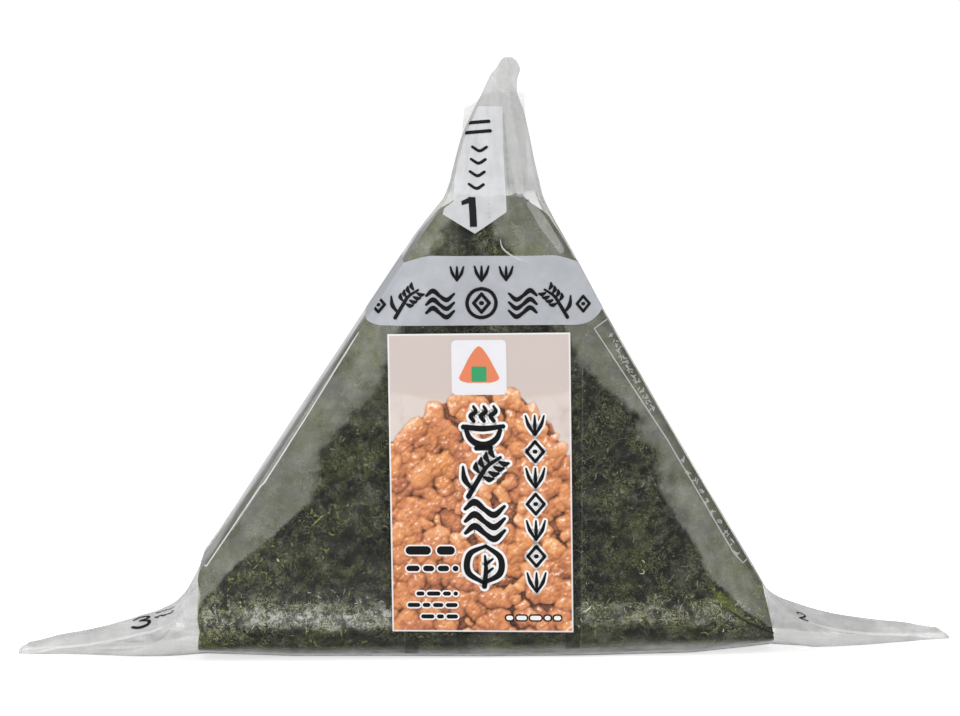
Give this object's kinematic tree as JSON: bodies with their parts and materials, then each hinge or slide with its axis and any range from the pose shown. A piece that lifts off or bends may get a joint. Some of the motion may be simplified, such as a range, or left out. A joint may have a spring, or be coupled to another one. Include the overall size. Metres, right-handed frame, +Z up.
{
  "type": "film-wrapped onigiri rice ball",
  "caption": "Triangular rice ball in seaweed, sealed in clear film with a pull tab at the top, a flat ear at each bottom corner and a label on the front.",
  "frame": {"origin": "centre of the footprint, on the surface that the pack stands on", "axes": "+X to the right along the long base, from ear to ear; the label faces -Y; +Z up to the pull tab"},
  "size_m": [0.173, 0.0307, 0.1095],
  "materials": {
    "film_pack": "clear film over dark green seaweed",
    "label": "printed sticker with a white edge"
  },
  "bodies": {
    "root": {"film_pack": "film_pack", "label": "label"}
  },
  "joints": []
}
